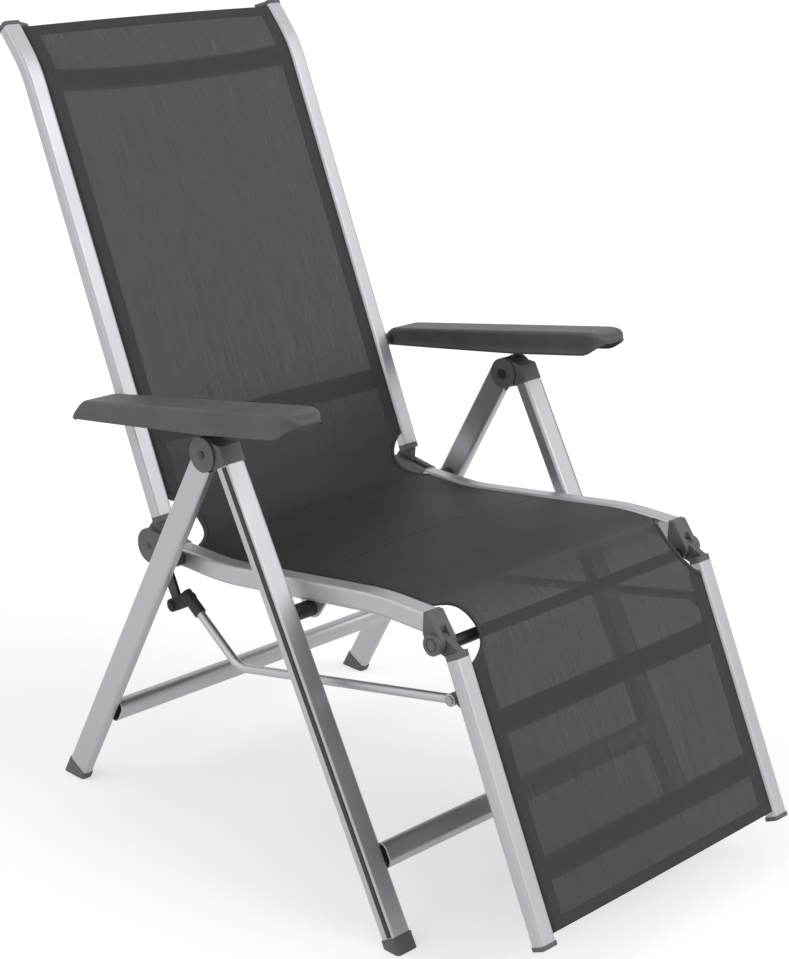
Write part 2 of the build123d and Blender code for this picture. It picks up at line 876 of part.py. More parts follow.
# Footrest rails and crossbars
footrest_rail = side_tube(
    (footrest_start, footrest_end), rail_x, rail_width, footrest_rail_depth, tube_wall, tube_corner
)
save_sides(footrest_rail, "footrest_rail")
for bar_height, bar_label in (
    (upper_footrest_bar_height, "footrest_crossbar_upper"),
    (footrest_bottom_height + lower_footrest_bar_rise, "footrest_crossbar_lower"),
):
    bar_line_point = at_height(footrest_middle, footrest_up, bar_height)
    bar_centre = along(bar_line_point, footrest_normal, -footrest_bar_offset)
    footrest_bar = cross_tube(
        bar_centre, rail_inner_x, footrest_bar_size, footrest_bar_depth, tube_wall, footrest_lean
    )
    save(footrest_bar, bar_label)

footrest_down = (-footrest_up[0], -footrest_up[1])
footrest_hinge = tongue_hinge(
    footrest_start,
    footrest_down,
    footrest_rail_depth,
    footrest_pivot,
    footrest_tongue_radius,
    crank_x,
    rail_width - 2 * cheek_width - 2 * side_gap,
)
save_sides(footrest_hinge, "footrest_hinge")

# Brackets on the rear face of the footrest rails, for the link rods
bracket_foot = at_height(footrest_middle, footrest_up, bracket_rivet[1])
bracket_back = along(bracket_foot, footrest_normal, -footrest_rail_depth / 2)
bracket_ends = [
    along(bracket_back, footrest_up, bracket_weld_length / 2),
    along(bracket_back, footrest_up, -bracket_weld_length / 2),
]
with BuildPart() as rod_bracket:
    with BuildSketch(side_plane(crank_x)):
        with BuildLine():
            Polyline(
                *bracket_ends,
                along(bracket_ends[1], footrest_normal, -head_height),
                along(bracket_ends[0], footrest_normal, -head_height),
                close=True,
            )
        make_face()
        with Locations(bracket_rivet):
            Circle(bracket_half)
        make_hull()
        with Locations(bracket_rivet):
            Circle(rivet_radius + running_gap, mode=Mode.SUBTRACT)
    extrude(amount=bracket_width)
save_group(rod_bracket, "rod_brackets")

# Caps on the lower ends of the footrest rails
footrest_cap_end = along(footrest_end, footrest_up, -cap_plate)
footrest_plug_end = along(footrest_end, footrest_up, cap_plug)
footrest_cap_plate = side_bar(
    (footrest_end, footrest_cap_end),
    rail_x,
    rail_width + 2 * cap_lip,
    footrest_rail_depth + 2 * cap_lip,
    tube_corner,
)
footrest_cap_plug = side_bar(
    (footrest_end, footrest_plug_end),
    rail_x,
    rail_width - 2 * tube_wall - 2 * plug_gap,
    footrest_rail_depth - 2 * tube_wall - 2 * plug_gap,
    tube_corner - tube_wall,
)
with BuildPart() as footrest_cap:
    add(footrest_cap_plate.part)
    add(footrest_cap_plug.part)
save_group(footrest_cap, "footrest_caps")


def rod_run(points, radius):
    """Round bar along the link rod's path."""
    with BuildPart() as bar:
        with BuildLine(side_plane(rod_x)) as path:
            if len(points) > 2:
                FilletPolyline(*points, radius=rod_bend_radius)
            else:
                Line(*points)
        with BuildSketch(Plane(origin=path.line @ 0, x_dir=(1, 0, 0), z_dir=path.line % 0)):
            Circle(radius)
        sweep()
    return bar


# Link rods between the cranks and the footrest
rod_points = (rod_start, rod_bend_point, bracket_rivet)
rod_bar = rod_run(rod_points, rod_radius)
with BuildPart() as link_rod:
    add(rod_bar.part)
    with BuildSketch(side_plane(rod_x - rod_radius)):
        with Locations(bracket_rivet):
            Circle(rod_radius + head_height)
    extrude(amount=2 * rod_radius)
    with BuildSketch(side_plane(rod_x - 2 * rod_radius)):
        with Locations(bracket_rivet):
            Circle(rivet_radius + rod_loop_gap)
    extrude(amount=4 * rod_radius, mode=Mode.SUBTRACT)
save_sides(link_rod, "link_rod")

# Dark ends of the link rods: an eye on the crank's rivet and a sleeve on the rod
rod_run_length = (
    (rod_start[0] - rod_bend_point[0]) ** 2 + (rod_start[1] - rod_bend_point[1]) ** 2
) ** 0.5
rod_down = (
    (rod_bend_point[0] - rod_start[0]) / rod_run_length,
    (rod_bend_point[1] - rod_start[1]) / rod_run_length,
)
sleeve_start = along(rod_start, rod_down, -head_height)
sleeve_end = along(rod_start, rod_down, rod_sleeve_length)
sleeve = rod_run((sleeve_start, sleeve_end), rod_sleeve_radius)
rod_core = rod_run((rod_start, along(sleeve_end, rod_down, rod_sleeve_length)), rod_radius + plug_gap)
with BuildPart() as rod_end:
    with BuildSketch(side_plane(rod_x - rod_end_width / 2)):
        with Locations(crank_rivet):
            Circle(crank_end_radius)
        with Locations(along(rod_start, rod_down, crank_end_radius)):
            Circle(rod_sleeve_radius)
        make_hull()
    extrude(amount=rod_end_width)
    add(sleeve.part)
    with BuildSketch(side_plane(rod_x - rod_end_width)):
        with Locations(crank_rivet):
            Circle(rivet_radius + running_gap)
    extrude(amount=2 * rod_end_width, mode=Mode.SUBTRACT)
    add(rod_core.part, mode=Mode.SUBTRACT)
save_sides(rod_end, "rod_end")

# Armrests: shells that are open below and cover the leg heads
arm_width = arm_outer_x - arm_inner_x
arm_middle_x = (arm_inner_x + arm_outer_x) / 2
arm_tip_y = arm_outline[-1][0]
arm_heel_y = arm_outline[7][0]
arm_top_front = arm_outline[9]
arm_top_rear = arm_outline[8]
arm_slope = (arm_top_front[1] - arm_top_rear[1]) / (arm_top_front[0] - arm_top_rear[0])
# The plan is rounded at the front alone: its rear corners lie behind the heel
arm_plan_length = arm_heel_y - arm_tip_y + arm_plan_radius


def arm_ceiling(y):
    """Height of the underside of the armrest's top at a place of the side view."""
    return arm_top_front[1] + arm_slope * (y - arm_top_front[0]) - arm_top_wall


arm_top_plane = Plane(
    origin=(arm_middle_x, arm_top_rear[0], arm_top_rear[1]),
    x_dir=(1, 0, 0),
    z_dir=(0, -1, -arm_slope),
)
hollow_front = arm_tip_y + arm_plan_radius
hollow_top_rear = arm_top_rear[0] - arm_end_wall
hollow_low_rear = arm_heel_y - arm_end_wall
with BuildPart() as armrest:
    with BuildSketch(side_plane(arm_inner_x)):
        with BuildLine():
            Polyline(*arm_outline, close=True)
        make_face()
    extrude(amount=arm_width)
    with BuildSketch(Plane.XY):
        with Locations((arm_middle_x, arm_tip_y + arm_plan_length / 2)):
            RectangleRounded(arm_width, arm_plan_length, arm_plan_radius)
    extrude(amount=2 * arm_top_front[1], mode=Mode.INTERSECT)
    with BuildSketch(arm_top_plane):
        with Locations((0, -arm_top_front[1] / 2)):
            RectangleRounded(arm_width, arm_top_front[1], arm_edge_radius)
    extrude(amount=2 * (arm_heel_y - arm_tip_y), both=True, mode=Mode.INTERSECT)
    with BuildSketch(side_plane(arm_inner_x + arm_wall)):
        with BuildLine():
            Polyline(
                (hollow_front, 0),
                (hollow_front, arm_ceiling(hollow_front)),
                (hollow_top_rear, arm_ceiling(hollow_top_rear)),
                (hollow_low_rear, arm_outline[7][1]),
                (hollow_low_rear, 0),
                close=True,
            )
        make_face()
    extrude(amount=arm_width - 2 * arm_wall, mode=Mode.SUBTRACT)
    with BuildSketch(side_plane(arm_inner_x)):
        with Locations(arm_pivot):
            Circle(arm_lug_radius)
    extrude(amount=arm_wall)
    with BuildSketch(side_plane(arm_inner_x)):
        with Locations(arm_pivot):
            Circle(rivet_radius + running_gap)
    extrude(amount=arm_wall, mode=Mode.SUBTRACT)
save_sides(armrest, "armrest")

# Toothed racks inside the armrests, above the leg heads
rack_end = rack_start - rack_count * rack_pitch
rack_points = [(rack_start, arm_ceiling(rack_start))]
for tooth in range(rack_count):
    tooth_y = rack_start - tooth * rack_pitch
    low_y = tooth_y - rack_pitch / 2
    rack_points.append((tooth_y, arm_ceiling(tooth_y) - rack_height))
    rack_points.append((low_y, arm_ceiling(low_y) - rack_height - rack_tooth_depth))
rack_points.append((rack_end, arm_ceiling(rack_end) - rack_height))
rack_points.append((rack_end, arm_ceiling(rack_end)))
with BuildPart() as arm_rack:
    with BuildSketch(side_plane(rack_inner_x)):
        with BuildLine():
            Polyline(*rack_points, close=True)
        make_face()
    extrude(amount=rack_outer_x - rack_inner_x)
save_sides(arm_rack, "arm_rack")


def fabric_panel(points, label):
    """Flat panel of fabric between the rails, following a line of the side view."""
    with BuildPart() as panel:
        with BuildSketch(side_plane(-rail_inner_x)):
            with BuildLine():
                Polyline(*points)
            trace(line_width=fabric_thickness)
        extrude(amount=2 * rail_inner_x)
    save(panel, label)


back_fabric_offset = back_rail_depth / 2 - fabric_below_face
back_fabric_top = at_height(back_top, back_top_up, back_top_height - fabric_top_drop)
fabric_panel(
    [
        along(back_rail_start, back_normal, back_fabric_offset),
        along(back_bend, back_normal, back_fabric_offset),
        along(back_fabric_top, front_normal(back_top_up), back_fabric_offset),
    ],
    "back_fabric",
)
seat_fabric_rise = seat_rail_depth / 2 - fabric_below_face
fabric_panel(
    [
        (seat_fabric_ends[0], seat_rail_path[0][1] + seat_fabric_rise),
        along(seat_rail_path[1], seat_down, -seat_fabric_rise),
        along(seat_rail_path[2], seat_down, -seat_fabric_rise),
        (seat_fabric_ends[1], seat_rail_path[3][1] + seat_fabric_rise),
    ],
    "seat_fabric",
)
footrest_fabric_offset = footrest_rail_depth / 2 - fabric_below_face
fabric_panel(
    [
        along(footrest_start, footrest_normal, footrest_fabric_offset),
        along(
            at_height(footrest_middle, footrest_up, footrest_bottom_height + fabric_bottom_rise),
            footrest_normal,
            footrest_fabric_offset,
        ),
    ],
    "footrest_fabric",
)
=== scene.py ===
import json
import math
import bmesh
import bpy
import numpy as np
from mathutils import Matrix, Vector


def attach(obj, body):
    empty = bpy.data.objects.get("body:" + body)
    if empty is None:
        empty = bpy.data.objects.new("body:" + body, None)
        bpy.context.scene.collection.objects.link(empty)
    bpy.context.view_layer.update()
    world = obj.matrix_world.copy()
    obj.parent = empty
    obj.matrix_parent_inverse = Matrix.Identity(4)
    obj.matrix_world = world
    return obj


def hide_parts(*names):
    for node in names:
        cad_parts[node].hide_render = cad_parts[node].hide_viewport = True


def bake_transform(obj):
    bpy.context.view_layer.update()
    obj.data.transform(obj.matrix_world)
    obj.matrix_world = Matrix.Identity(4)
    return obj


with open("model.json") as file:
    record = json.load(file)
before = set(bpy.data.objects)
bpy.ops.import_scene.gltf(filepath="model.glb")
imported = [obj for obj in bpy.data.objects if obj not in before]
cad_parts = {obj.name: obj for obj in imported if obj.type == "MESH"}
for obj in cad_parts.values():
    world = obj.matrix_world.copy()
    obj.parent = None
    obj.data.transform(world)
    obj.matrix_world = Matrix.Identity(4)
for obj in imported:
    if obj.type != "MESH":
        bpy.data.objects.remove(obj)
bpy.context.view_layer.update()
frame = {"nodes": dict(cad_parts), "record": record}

# Half the width of the cloth between the rails, the thickness of its mesh, the width
# of its doubled hems beside the rails and at both ends, and the pitch of its points
CLOTH_HALF = 0.231
CLOTH_THICK = 0.0016
SIDE_HEM = 0.023
END_HEM = 0.016
CLOTH_PITCH = 0.004

# The cloth's line in the side view (y, z), metres, from the top hem to the bottom hem
CLOTH_LINE = [
    (0.5081, 1.0680),
    (0.4649, 1.0195),
    (0.1791, 0.4010),
    (0.0615, 0.4009),
    (-0.2285, 0.4439),
    (-0.3110, 0.4441),
    (-0.3620, 0.4044),
    (-0.5164, 0.0806),
]
CLOTH_RADII = [0.0, 0.186, 0.060, 0.440, 0.440, 0.030, 0.030, 0.0]

# Scallops in the cloth's sides around the hinges: how deep, and half how long
SCALLOP_DEEP = {"back": 0.036, "footrest": 0.034}
SCALLOP_HALF = {"back": 0.045, "footrest": 0.050}

# Places (y, z) of the side view that the scallops and the two sheets' joint are next to
SCALLOP_PLACE = {"back": (0.183, 0.412), "footrest": (-0.336, 0.425)}
SEAT_MIDDLE = (-0.085, 0.424)

# How deep the cloth sinks at each hinge, and over half how long a run
CORNER_DIP = {"back": (0.007, 0.090), "footrest": (0.0072, 0.055)}

# Sag of the whole cloth, and of back and seat: deep, middle and spread as shares
SAG_ALL = 0.002
SAG_BACK = (0.006, 0.20, 0.16)
SAG_SEAT = (0.009, 0.60, 0.10)

# Bound edges of the scallops: radius, and how far they stay inside the rails
BINDING_RADIUS = 0.0026
BINDING_INSET = 0.0030


def rounded_line(points, radii, spacing):
    """Runs of a polyline joined by arcs: each corner's arc is tangent to both runs,
    at radius * tan(turn / 2) from the corner. Returns points about `spacing` apart."""
    points = np.array(points, float)
    pieces = []
    start = points[0]
    for corner, before, after, radius in zip(
        points[1:-1], points[:-2], points[2:], radii[1:-1]
    ):
        incoming = (corner - before) / np.linalg.norm(corner - before)
        outgoing = (after - corner) / np.linalg.norm(after - corner)
        cross = incoming[0] * outgoing[1] - incoming[1] * outgoing[0]
        turn = math.atan2(cross, float(incoming @ outgoing))
        reach = radius * math.tan(abs(turn) / 2)
        arc_start = corner - incoming * reach
        steps = max(2, int(np.linalg.norm(arc_start - start) / spacing))
        share = np.linspace(0, 1, steps, endpoint=False)[:, None]
        pieces.append(start + (arc_start - start) * share)
        side = math.copysign(1.0, turn)
        normal = np.array([-incoming[1], incoming[0]]) * side
        centre = arc_start + normal * radius
        steps = max(3, int(radius * abs(turn) / spacing))
        angle = np.linspace(0, turn, steps, endpoint=False)
        spoke = -normal * radius
        cosine, sine = np.cos(angle), np.sin(angle)
        arc = np.stack(
            [spoke[0] * cosine - spoke[1] * sine, spoke[0] * sine + spoke[1] * cosine], 1
        )
        pieces.append(centre + arc)
        start = corner + outgoing * reach
    steps = max(2, int(np.linalg.norm(points[-1] - start) / spacing))
    share = np.linspace(0, 1, steps + 1)[:, None]
    pieces.append(start + (points[-1] - start) * share)
    return np.concatenate(pieces)


def run_lengths(line):
    """Distance along a line of points, from its first point to each."""
    return np.concatenate([[0], np.cumsum(np.linalg.norm(np.diff(line, axis=0), axis=1))])


def mesh_from_grid(name, places, uv=None, closed=False):
    """Quads over a grid of places (rows, columns, 3); a closed grid joins the last
    column of points to the first. The map holds each corner's (u, v)."""
    rows, columns = places.shape[:2]
    index = np.arange(rows * columns).reshape(rows, columns)
    if closed:
        index = np.concatenate([index, index[:, :1]], 1)
    quads = np.stack(
        [index[:-1, :-1], index[1:, :-1], index[1:, 1:], index[:-1, 1:]], -1
    ).reshape(-1, 4)
    mesh = bpy.data.meshes.new(name)
    mesh.from_pydata(places.reshape(-1, 3).tolist(), [], quads.tolist())
    if uv is not None:
        layer = mesh.uv_layers.new(name="cut")
        layer.data.foreach_set("uv", uv.reshape(-1, 2)[quads.reshape(-1)].reshape(-1))
    mesh.polygons.foreach_set("use_smooth", np.ones(len(quads), bool))
    mesh.update()
    piece = bpy.data.objects.new(name, mesh)
    bpy.context.scene.collection.objects.link(piece)
    return piece


def join_doubles(piece):
    """Points at the same place become one, which closes seams and poles."""
    shape = bmesh.new()
    shape.from_mesh(piece.data)
    bmesh.ops.remove_doubles(shape, verts=shape.verts, dist=0.00002)
    bmesh.ops.recalc_face_normals(shape, faces=shape.faces)
    shape.to_mesh(piece.data)
    shape.free()


def linear(value):
    """A screen value from 0 to 255 as the linear share that a shader takes."""
    share = value / 255
    return share / 12.92 if share <= 0.04045 else ((share + 0.055) / 1.055) ** 2.4


def tone(red, green, blue):
    """A screen colour as the linear colour that a shader takes."""
    return (linear(red), linear(green), linear(blue), 1.0)


class Net:
    """Short calls for putting nodes into a tree and joining their sockets."""

    def __init__(self, tree):
        self.tree = tree

    def add(self, kind, values=None, **settings):
        """A node of a kind, its settings, and for each input a value or a socket."""
        node = self.tree.nodes.new(kind)
        for key, value in settings.items():
            setattr(node, key, value)
        for key, value in (values or {}).items():
            if isinstance(value, bpy.types.NodeSocket):
                self.tree.links.new(value, node.inputs[key])
            else:
                node.inputs[key].default_value = value
        return node

    def math(self, operation, *values, clamp=False):
        """The result socket of one sum on values or sockets."""
        node = self.add("ShaderNodeMath", operation=operation, use_clamp=clamp)
        for place, value in enumerate(values):
            if isinstance(value, bpy.types.NodeSocket):
                self.tree.links.new(value, node.inputs[place])
            else:
                node.inputs[place].default_value = value
        return node.outputs[0]

    def spread(self, value, low, high, to_low=0.0, to_high=1.0, smooth=True):
        """A value carried from one range to another, held inside it."""
        ends = {"From Min": low, "From Max": high, "To Min": to_low, "To Max": to_high}
        node = self.add(
            "ShaderNodeMapRange",
            {"Value": value, **ends},
            clamp=True,
            interpolation_type="SMOOTHSTEP" if smooth else "LINEAR",
        )
        return node.outputs["Result"]

    def blend(self, share, first, second):
        """The colour between two, by a share."""
        node = self.add("ShaderNodeMix", data_type="RGBA")
        for place, value in ((0, share), (6, first), (7, second)):
            if isinstance(value, bpy.types.NodeSocket):
                self.tree.links.new(value, node.inputs[place])
            else:
                node.inputs[place].default_value = value
        return node.outputs[2]


def new_group(name, inputs, outputs):
    """An empty node group with named inputs (kind, value) and outputs (kind)."""
    tree = bpy.data.node_groups.new(name, "ShaderNodeTree")
    for label, (kind, value) in inputs.items():
        socket = tree.interface.new_socket(label, in_out="INPUT", socket_type=kind)
        if value is not None:
            socket.default_value = value
    for label, kind in outputs.items():
        tree.interface.new_socket(label, in_out="OUTPUT", socket_type=kind)
    net = Net(tree)
    return tree, net, net.add("NodeGroupInput"), net.add("NodeGroupOutput")


FLOAT, COLOUR, VECTOR = "NodeSocketFloat", "NodeSocketColor", "NodeSocketVector"


def make_coat_group():
    """Sprayed coat: two sizes of noise make its skin, and slow noise tints its colour."""
    tree, net, inlet, outlet = new_group(
        "sprayed_coat",
        {"Colour": (COLOUR, None), "Tint": (FLOAT, 0.06), "Skin size": (FLOAT, 900.0)},
        {"Colour": COLOUR, "Roughness": FLOAT, "Height": FLOAT},
    )
    place = net.add("ShaderNodeTexCoord").outputs["Object"]
    slow = net.add("ShaderNodeTexNoise", {"Vector": place, "Scale": 7.0, "Detail": 3.0})
    skin = net.add(
        "ShaderNodeTexNoise",
        {"Vector": place, "Scale": inlet.outputs["Skin size"], "Detail": 2.0},
    )
    flake = net.add("ShaderNodeTexVoronoi", {"Vector": place, "Scale": 2600.0})
    shift = net.math("SUBTRACT", slow.outputs["Fac"], 0.5)
    shift = net.math("MULTIPLY", shift, inlet.outputs["Tint"])
    flakes = net.math("SUBTRACT", flake.outputs["Distance"], 0.45)
    shift = net.math("ADD", shift, net.math("MULTIPLY", flakes, 0.05))
    value = net.math("ADD", shift, 1.0)
    colour = net.add(
        "ShaderNodeHueSaturation", {"Color": inlet.outputs["Colour"], "Value": value}
    )
    net.tree.links.new(colour.outputs["Color"], outlet.inputs["Colour"])
    rough = net.spread(slow.outputs["Fac"], 0.3, 0.7, 0.36, 0.46)
    net.tree.links.new(rough, outlet.inputs["Roughness"])
    net.tree.links.new(skin.outputs["Fac"], outlet.inputs["Height"])
    return tree


def make_edge_group():
    """Rounded edges: a normal softened over a radius, and a mask of how far it turned."""
    tree, net, inlet, outlet = new_group(
        "soft_edge",
        {"Radius": (FLOAT, 0.0015)},
        {"Normal": VECTOR, "Mask": FLOAT},
    )
    soft = net.add("ShaderNodeBevel", {"Radius": inlet.outputs["Radius"]}, samples=4)
    flat = net.add("ShaderNodeNewGeometry")
    dot = net.add("ShaderNodeVectorMath", operation="DOT_PRODUCT")
    net.tree.links.new(soft.outputs["Normal"], dot.inputs[0])
    net.tree.links.new(flat.outputs["Normal"], dot.inputs[1])
    mask = net.spread(dot.outputs["Value"], 0.995, 0.80)
    net.tree.links.new(mask, outlet.inputs["Mask"])
    net.tree.links.new(soft.outputs["Normal"], outlet.inputs["Normal"])
    return tree


def make_moulded_group():
    """Moulded plastic: fine spark-eroded grain, slow blotches and pale edges, a painted highlight
    broken into patches.
    """
    tree, net, inlet, outlet = new_group(
        "moulded_plastic",
        {
            "Colour": (COLOUR, None),
            "Highlight colour": (COLOUR, None),
            "Highlight share": (FLOAT, 0.3),
            "Edge": (FLOAT, 0.0),
            "Grain size": (FLOAT, 1400.0),
        },
        {"Colour": COLOUR, "Roughness": FLOAT, "Height": FLOAT},
    )
    place = net.add("ShaderNodeTexCoord").outputs["Object"]
    slow = net.add("ShaderNodeTexNoise", {"Vector": place, "Scale": 22.0, "Detail": 4.0})
    grain = net.add(
        "ShaderNodeTexNoise",
        {"Vector": place, "Scale": inlet.outputs["Grain size"], "Detail": 3.0},
    )
    value = net.spread(slow.outputs["Fac"], 0.3, 0.7, 0.90, 1.10)
    body = net.add(
        "ShaderNodeHueSaturation", {"Color": inlet.outputs["Colour"], "Value": value}
    )
    # Painted highlight: the edge mask, broken into patches by slow noise, blends the colour
    # towards the pale highlight colour.
    broken = net.spread(slow.outputs["Fac"], 0.35, 0.6)
    share = net.math("MULTIPLY", inlet.outputs["Edge"], inlet.outputs["Highlight share"])
    share = net.math("MULTIPLY", share, net.math("ADD", broken, 0.35), clamp=True)
    colour = net.blend(share, body.outputs["Color"], inlet.outputs["Highlight colour"])
    net.tree.links.new(colour, outlet.inputs["Colour"])
    rough = net.spread(grain.outputs["Fac"], 0.3, 0.7, 0.46, 0.60)
    net.tree.links.new(rough, outlet.inputs["Roughness"])
    net.tree.links.new(grain.outputs["Fac"], outlet.inputs["Height"])
    return tree


def make_weave_group():
    """Coated yarn mesh: a basket of u and v waves for its height and holes, and long
    streaks of noise stretched along v for the yarns that lie closer together."""
    tree, net, inlet, outlet = new_group(
        "yarn_mesh",
        {"Place": (VECTOR, None), "Pitch": (FLOAT, 0.0018)},
        {"Streak": FLOAT, "Cover": FLOAT, "Height": FLOAT},
    )
    parts = net.add("ShaderNodeSeparateXYZ", {"Vector": inlet.outputs["Place"]})
    across = net.math("DIVIDE", parts.outputs["X"], inlet.outputs["Pitch"])
    along = net.math("DIVIDE", parts.outputs["Y"], inlet.outputs["Pitch"])
    wave_u = net.math("ABSOLUTE", net.math("SINE", net.math("MULTIPLY", across, math.pi)))
    wave_v = net.math("ABSOLUTE", net.math("SINE", net.math("MULTIPLY", along, math.pi)))
    crown = net.math("MAXIMUM", wave_u, wave_v)
    hole = net.math("MULTIPLY", wave_u, wave_v)
    layers = []
    for dense, sparse, part in ((760.0, 26.0, 0.65), (210.0, 3.0, 0.35)):
        stretched = net.add(
            "ShaderNodeCombineXYZ",
            {
                "X": net.math("MULTIPLY", parts.outputs["X"], dense),
                "Y": net.math("MULTIPLY", parts.outputs["Y"], sparse),
            },
        )
        noise = net.add(
            "ShaderNodeTexNoise",
            {"Vector": stretched.outputs[0], "Scale": 1.0, "Detail": 2.0},
        )
        layers.append(net.math("MULTIPLY", noise.outputs["Fac"], part))
    streak = net.spread(net.math("ADD", *layers), 0.30, 0.70, smooth=False)
    net.tree.links.new(streak, outlet.inputs["Streak"])
    net.tree.links.new(net.spread(hole, 0.85, 0.35), outlet.inputs["Cover"])
    net.tree.links.new(crown, outlet.inputs["Height"])
    return tree


COAT = make_coat_group()
SOFT_EDGE = make_edge_group()
MOULDED = make_moulded_group()
WEAVE = make_weave_group()


def new_material(name):
    """A material with a plain shader and its output, and the calls to fill it."""
    material = bpy.data.materials.new(name)
    material.use_nodes = True
    net = Net(material.node_tree)
    shader = material.node_tree.nodes["Principled BSDF"]
    return material, net, shader


def coated_metal(name, colour, tint=0.06, metallic=0.55, radius=0.0022, bump=0.06, edge_highlight=0.3):
    """Silver powder coat on aluminium or steel, with a painted highlight that turns its colour
    towards white along its edges.
    """
    material, net, shader = new_material(name)
    coat = net.add("ShaderNodeGroup", node_tree=COAT)
    coat.inputs["Colour"].default_value = colour
    coat.inputs["Tint"].default_value = tint
    edge = net.add("ShaderNodeGroup", node_tree=SOFT_EDGE)
    edge.inputs["Radius"].default_value = radius
    skin = net.add(
        "ShaderNodeBump",
        {"Height": coat.outputs["Height"], "Normal": edge.outputs["Normal"], "Strength": bump},
    )
    skin.inputs["Distance"].default_value = 0.0006
    # Painted highlight: the edge mask blends the coat's colour towards white.
    highlight_amount = net.math("MULTIPLY", edge.outputs["Mask"], edge_highlight)
    lit = net.blend(highlight_amount, coat.outputs["Colour"], (1, 1, 1, 1))
    net.tree.links.new(lit, shader.inputs["Base Color"])
    net.tree.links.new(coat.outputs["Roughness"], shader.inputs["Roughness"])
    net.tree.links.new(skin.outputs["Normal"], shader.inputs["Normal"])
    shader.inputs["Metallic"].default_value = metallic
    return material


def moulded(name, colour, highlight_colour, highlight_share=0.35, radius=0.0016, grain=1400.0, bump=0.12):
    """Moulded plastic with rounded edges and a painted highlight along them."""
    material, net, shader = new_material(name)
    edge = net.add("ShaderNodeGroup", node_tree=SOFT_EDGE)
    edge.inputs["Radius"].default_value = radius
    body = net.add("ShaderNodeGroup", node_tree=MOULDED)
    body.inputs["Colour"].default_value = colour
    body.inputs["Highlight colour"].default_value = highlight_colour
    body.inputs["Highlight share"].default_value = highlight_share
    body.inputs["Grain size"].default_value = grain
    net.tree.links.new(edge.outputs["Mask"], body.inputs["Edge"])
    skin = net.add(
        "ShaderNodeBump",
        {"Height": body.outputs["Height"], "Normal": edge.outputs["Normal"], "Strength": bump},
    )
    skin.inputs["Distance"].default_value = 0.0008
    net.tree.links.new(body.outputs["Colour"], shader.inputs["Base Color"])
    net.tree.links.new(body.outputs["Roughness"], shader.inputs["Roughness"])
    net.tree.links.new(skin.outputs["Normal"], shader.inputs["Normal"])
    shader.inputs["Specular IOR Level"].default_value = 0.4
    return material


def mesh_cloth(name, total_length, seat_run):
    """See-through yarn mesh with close-woven dark edges: u and v are metres on the cut, u from
    the middle, v from the top hem. Along the seat run the mesh is painted darker and more opaque,
    a painted shade."""
    material, net, shader = new_material(name)
    place = net.add("ShaderNodeUVMap", uv_map="cut").outputs["UV"]
    weave = net.add("ShaderNodeGroup", {"Place": place}, node_tree=WEAVE)
    parts = net.add("ShaderNodeSeparateXYZ", {"Vector": place})
    side = net.math("ABSOLUTE", parts.outputs["X"])
    inner = CLOTH_HALF - SIDE_HEM
    hem = net.spread(side, inner - 0.0005, inner + 0.0005)
    hem = net.math("MAXIMUM", hem, net.spread(parts.outputs["Y"], END_HEM, END_HEM - 0.001))
    lowest = total_length - END_HEM
    low = net.spread(parts.outputs["Y"], lowest, lowest + 0.001)
    hem = net.math("MAXIMUM", hem, low)
    yarn = net.blend(weave.outputs["Streak"], tone(43, 43, 44), tone(73, 73, 74))
    colour = net.blend(hem, yarn, tone(51, 52, 53))
    see = net.spread(weave.outputs["Streak"], 0.0, 1.0, 0.84, 0.76, smooth=False)
    # Painted shade: over the seat run the mesh is blended towards near-black and made more
    # opaque.
    seat_start = net.spread(parts.outputs["Y"], seat_run[0] - 0.22, seat_run[0] + 0.06)
    seat_end = net.spread(parts.outputs["Y"], seat_run[1] + 0.01, seat_run[1] - 0.10)
    seat = net.math("MULTIPLY", seat_start, seat_end)
    shade_cover = net.math("MULTIPLY", seat, 0.16)
    colour = net.blend(net.math("MULTIPLY", seat, 0.62), colour, tone(30, 30, 31))
    see = net.math("ADD", see, shade_cover)
    see = net.math("ADD", see, net.math("MULTIPLY", weave.outputs["Cover"], 0.02))
    alpha = net.math("MAXIMUM", see, hem, clamp=True)
    skin = net.add("ShaderNodeBump", {"Height": weave.outputs["Height"], "Strength": 0.35})
    skin.inputs["Distance"].default_value = 0.0004
    rough = net.spread(weave.outputs["Streak"], 0.0, 1.0, 0.52, 0.66)
    net.tree.links.new(colour, shader.inputs["Base Color"])
    net.tree.links.new(alpha, shader.inputs["Alpha"])
    net.tree.links.new(rough, shader.inputs["Roughness"])
    net.tree.links.new(skin.outputs["Normal"], shader.inputs["Normal"])
    shader.inputs["Specular IOR Level"].default_value = 0.3
    return material


def bright_steel(name):
    """Zinc-plated steel: turned rings about the pin's line and fine scratches."""
    material, net, shader = new_material(name)
    place = net.add("ShaderNodeTexCoord").outputs["Object"]
    squeeze = net.add("ShaderNodeMapping", {"Vector": place, "Scale": (40.0, 900.0, 900.0)})
    scratch = net.add("ShaderNodeTexNoise", {"Vector": squeeze.outputs[0], "Scale": 1.0})
    colour = net.blend(scratch.outputs["Fac"], tone(120, 122, 124), tone(176, 178, 180))
    rough = net.spread(scratch.outputs["Fac"], 0.3, 0.7, 0.28, 0.42)
    edge = net.add("ShaderNodeGroup", node_tree=SOFT_EDGE)
    edge.inputs["Radius"].default_value = 0.0006
    net.tree.links.new(colour, shader.inputs["Base Color"])
    net.tree.links.new(rough, shader.inputs["Roughness"])
    net.tree.links.new(edge.outputs["Normal"], shader.inputs["Normal"])
    shader.inputs["Metallic"].default_value = 0.9
    return material


